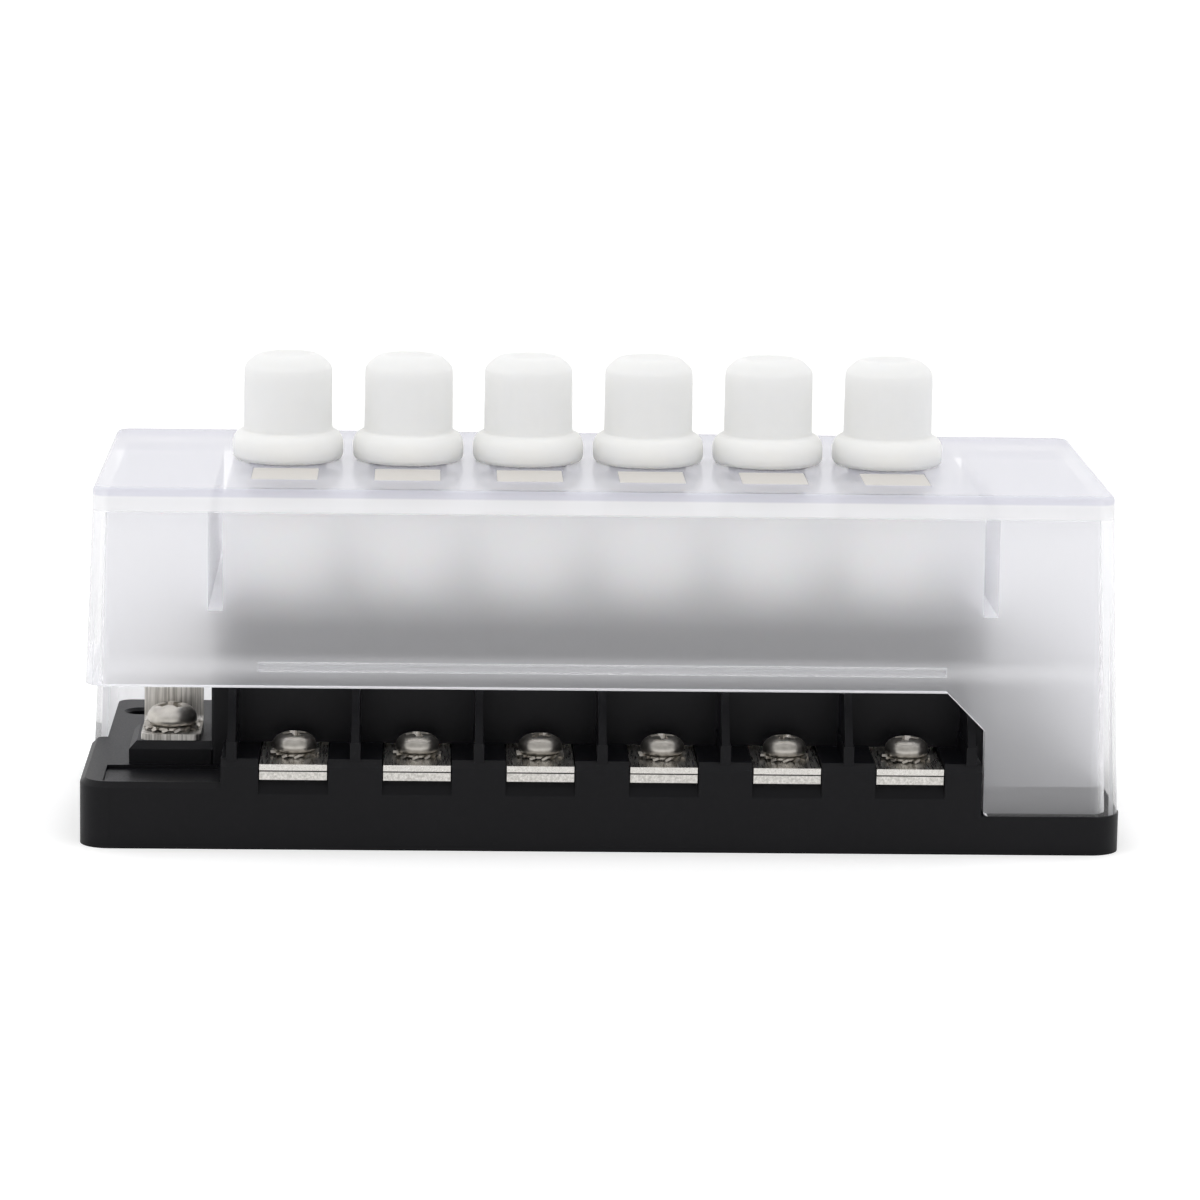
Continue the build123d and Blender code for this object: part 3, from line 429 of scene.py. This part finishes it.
# Painted light: towards the roof the walls let less light by, so they show lighter, standing in for the
# better lit inside up there. The stiffening bead's thicker wall lets less light by, and the wide band around
# it is a painted soft highlight of the bead lit from above.
painted_light_to_roof = node(tree, "ShaderNodeMapRange", {
    "Value": split["Z"], "From Min": 36 * MM, "From Max": 49 * MM, "To Min": 1.04, "To Max": 0.6})
from_bead = node(tree, "ShaderNodeMath", {0: split["Z"], 1: bead_height}, operation="SUBTRACT")
from_bead = node(tree, "ShaderNodeMath", {0: from_bead}, operation="ABSOLUTE")
bead_band_highlight = node(tree, "ShaderNodeMapRange", {"Value": from_bead, "From Max": 2.6 * MM, "To Min": 0.68},
               interpolation_type="SMOOTHSTEP")
let_by = node(tree, "ShaderNodeMath", {0: let_by, 1: painted_light_to_roof}, operation="MULTIPLY")
bead_band_highlight = node(tree, "ShaderNodeMix", {"Factor": forward, "A": 1.0, "B": bead_band_highlight})
let_by = node(tree, "ShaderNodeMath", {0: let_by, 1: bead_band_highlight}, operation="MULTIPLY")
blasted = node(tree, "ShaderNodeMath", {0: frost, 1: rim}, operation="SUBTRACT", use_clamp=True)
let_by = node(tree, "ShaderNodeMath", {0: let_by, 1: blasted}, operation="MULTIPLY")
rough = node(tree, "ShaderNodeMapRange", {"Value": frost, "To Min": 0.05, "To Max": 0.85})
white = node(tree, "ShaderNodeMath", {0: frost, 1: rim}, operation="MAXIMUM")
edge = node(tree, "ShaderNodeMapRange", {
    "Value": split["Z"], "From Min": roof_rim, "From Max": roof_rim + 0.3 * MM, "To Min": 1.0,
    "To Max": 0.0})
white = node(tree, "ShaderNodeMath", {0: white, 1: edge}, operation="MAXIMUM")
pale = node(tree, "ShaderNodeMix", {"Factor": white, "A": linear("#dadae6"), "B": linear("#f6f6f8")},
            data_type="RGBA")
shader = node(tree, "ShaderNodeBsdfPrincipled", {
    "Base Color": pale, "Roughness": rough, "IOR": 1.49, "Alpha": cover_alpha,
    "Transmission Weight": let_by})
# The clear plastic hardly shades what lies under it
clear = node(tree, "ShaderNodeBsdfTransparent", {"Color": linear("#fafafd")})
shadow = node(tree, "ShaderNodeLightPath", {}).outputs["Is Shadow Ray"]
mixed = node(tree, "ShaderNodeMixShader", {0: shadow, 1: shader, 2: clear})
node(tree, "ShaderNodeOutputMaterial", {"Surface": mixed})
dress(clear_shell, "cover")


# Circuit labels: blank film slips stuck in shallow recesses of the roof. The film is ivory and slightly
# see-through, so it hardly stands out from the cover.
label_card, tree, place = new_material("ivory_film_label")
fibre = node(tree, "ShaderNodeTexNoise", {"Vector": place, "Scale": 1 / (0.6 * MM)})
tint = node(tree, "ShaderNodeMix", {"Factor": fibre, "A": linear("#e6e2dc"), "B": linear("#eeeae5")},
            data_type="RGBA")
shader = node(tree, "ShaderNodeBsdfPrincipled", {"Base Color": tint, "Roughness": 0.5, "Alpha": 0.8})
node(tree, "ShaderNodeOutputMaterial", {"Surface": shader})
dress(label_card, "circuit_labels")


# Boots: natural silicone rubber, compression-moulded, stretched over the rim of each hole. Light soaks
# through the wall, so they look milky, with a soft collar, a rounded shoulder and a dished top.
boot_place = Vector((-52.0, -0.5, 58.8)) * MM
boot_outline = [
    (5.35, -3.8), (8.2, -3.8), (8.55, -3.5), (8.6, -3.0), (8.4, -2.35), (7.6, -2.2), (6.5, -2.2),
    (6.4, -1.8), (6.4, -0.3), (6.6, 0.1), (8.2, 0.1), (8.85, 0.35), (9.15, 0.95), (9.2, 1.9),
    (9.18, 3.0), (8.95, 3.9), (8.5, 4.6), (7.95, 4.95), (7.5, 5.1), (7.38, 5.5), (7.36, 7.0),
    (7.34, 10.0), (7.32, 13.6), (7.28, 15.2), (7.12, 15.75), (6.75, 16.25), (6.1, 16.85),
    (5.55, 17.3), (5.0, 17.6), (4.4, 17.72), (3.9, 17.68), (3.6, 17.56), (2.4, 17.5), (0.0, 17.5),
]
cavity_outline = [(0.0, 15.8), (4.9, 15.8), (5.5, 15.5), (5.65, 15.0), (5.65, 5.4), (5.35, 5.1)]
boot_rubber, tree, place = new_material("natural_silicone_rubber")
cloud = node(tree, "ShaderNodeTexNoise", {"Vector": place, "Scale": 1 / (5 * MM), "Detail": 3.0})
rough = node(tree, "ShaderNodeMapRange", {"Value": cloud, "To Min": 0.32, "To Max": 0.5})
tint = node(tree, "ShaderNodeMix", {"Factor": cloud, "A": linear("#f3f3f1"), "B": linear("#f8f8f5")},
            data_type="RGBA")
soft = node(tree, "ShaderNodeBump", {"Height": cloud, "Strength": 0.3, "Distance": 0.25 * MM})
shader = node(tree, "ShaderNodeBsdfPrincipled", {
    "Base Color": tint, "Roughness": rough, "IOR": 1.41,
    "Subsurface Weight": 1.0, "Subsurface Scale": 2.5 * MM, "Subsurface Radius": (1.0, 0.98, 0.94),
    "Specular IOR Level": 0.4, "Normal": soft})
node(tree, "ShaderNodeOutputMaterial", {"Surface": shader})
boots = add_object("silicone_boots", spun("silicone_boots", boot_outline + cavity_outline, 64))
set_in_row(boots, 60, Count=6, First=tuple(boot_place), Step=(way_pitch, 0, 0),
           Least_turn=(-0.006, -0.012, 0), Most_turn=(0.006, 0.012, 6.28), Seed=3, Finish=boot_rubber)
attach(boots, "cover")
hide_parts(*[f"boot_{k}" for k in ways])


# Studio: a pale floor, a broad soft box overhead, and a white surround. Above the horizon on its -Y
# side the surround mirrors darker, as in a light tent with an open front.
floor_mesh = bpy.data.meshes.new("floor")
floor_mesh.from_pydata([(-4, -4, 0), (4, -4, 0), (4, 4, 0), (-4, 4, 0)], [], [(0, 1, 2, 3)])
floor = add_object("floor", floor_mesh)
pale_floor, tree, place = new_material("pale_floor")
matt = node(tree, "ShaderNodeBsdfDiffuse", {"Color": linear("#f2f2f2")})
glow = node(tree, "ShaderNodeEmission", {"Color": (1, 1, 1, 1), "Strength": 0.3})
lit = node(tree, "ShaderNodeAddShader", {0: matt, 1: glow})
path = node(tree, "ShaderNodeLightPath", {})
both = node(tree, "ShaderNodeMixShader", {0: path.outputs["Is Camera Ray"], 1: matt, 2: lit})
node(tree, "ShaderNodeOutputMaterial", {"Surface": both})
floor_mesh.materials.append(pale_floor)

world = bpy.data.worlds.new("studio")
world.use_nodes = True
bpy.context.scene.world = world
tree = world.node_tree
tree.nodes.clear()
path = node(tree, "ShaderNodeLightPath", {}).outputs
toward = node(tree, "ShaderNodeTexCoord", {}).outputs["Generated"]
toward = node(tree, "ShaderNodeSeparateXYZ", {"Vector": toward}).outputs
frontal = node(tree, "ShaderNodeMapRange", {"Value": toward["Y"], "From Min": 0.1, "From Max": -0.35})
raised = node(tree, "ShaderNodeMapRange", {"Value": toward["Z"], "From Min": 0.02, "From Max": 0.3})
overhead = node(tree, "ShaderNodeMapRange", {"Value": toward["Z"], "From Min": 0.97, "From Max": 0.75})
flag = node(tree, "ShaderNodeMath", {0: frontal, 1: raised}, operation="MULTIPLY")
flag = node(tree, "ShaderNodeMath", {0: flag, 1: overhead}, operation="MULTIPLY")
straight = node(tree, "ShaderNodeMath", {0: 1.0, 1: path["Is Transmission Ray"]}, operation="SUBTRACT")
mirrored = node(tree, "ShaderNodeMath", {0: path["Is Glossy Ray"], 1: straight}, operation="MULTIPLY")
flag = node(tree, "ShaderNodeMath", {0: flag, 1: mirrored}, operation="MULTIPLY")
dimmed = node(tree, "ShaderNodeMapRange", {"Value": flag, "To Min": 1.0, "To Max": 0.42})
seen = node(tree, "ShaderNodeMix", {"Factor": path["Is Camera Ray"], "A": dimmed, "B": 1.05})
surround = node(tree, "ShaderNodeBackground", {"Color": (1, 1, 1, 1), "Strength": seen})
node(tree, "ShaderNodeOutputWorld", {"Surface": surround})


def soft_box(name, place, aim, width, height, watts):
    """Adds a rectangular lamp at a place, turned to face a point."""
    lamp = bpy.data.lights.new(name, "AREA")
    lamp.shape = "RECTANGLE"
    lamp.size, lamp.size_y, lamp.energy = width, height, watts
    box = bpy.data.objects.new(name, lamp)
    turn = (Vector(aim) - Vector(place)).to_track_quat("-Z", "Y").to_matrix().to_4x4()
    box.matrix_world = Matrix.Translation(place) @ turn
    bpy.context.scene.collection.objects.link(box)


soft_box("overhead", (0, 0.15, 0.9), (0, 0, 0), 1.2, 0.8, 0.3)
soft_box("left_side", (-0.9, -0.3, 0.5), (0, 0, 0.03), 0.5, 0.7, 0.4)

# Camera from a fit of the panel's corners in the photograph, whose focal length is in its pixels
image_width = 1200
focal_length = 5007.6
yaw, pitch, roll = (math.radians(a) for a in (-1.995, 10.339, 0.886))
across = Vector((math.cos(yaw), math.sin(yaw), 0))
ahead = Vector((-math.sin(yaw), math.cos(yaw), 0)) * math.cos(pitch) - Vector((0, 0, math.sin(pitch)))
upward = across.cross(ahead)
right = across * math.cos(roll) + upward * math.sin(roll)
top = upward * math.cos(roll) - across * math.sin(roll)
turn = Matrix((right, top, -ahead)).transposed().to_4x4()
lens = bpy.data.cameras.new("view")
lens.sensor_width = 36
lens.lens = lens.sensor_width * focal_length / image_width
lens.clip_start, lens.clip_end = 0.01, 20
camera = bpy.data.objects.new("view", lens)
camera.matrix_world = Matrix.Translation((-0.0284, -0.82689, 0.18615)) @ turn
bpy.context.scene.collection.objects.link(camera)
bpy.context.scene.camera = camera
bpy.context.scene.view_settings.view_transform = "Standard"
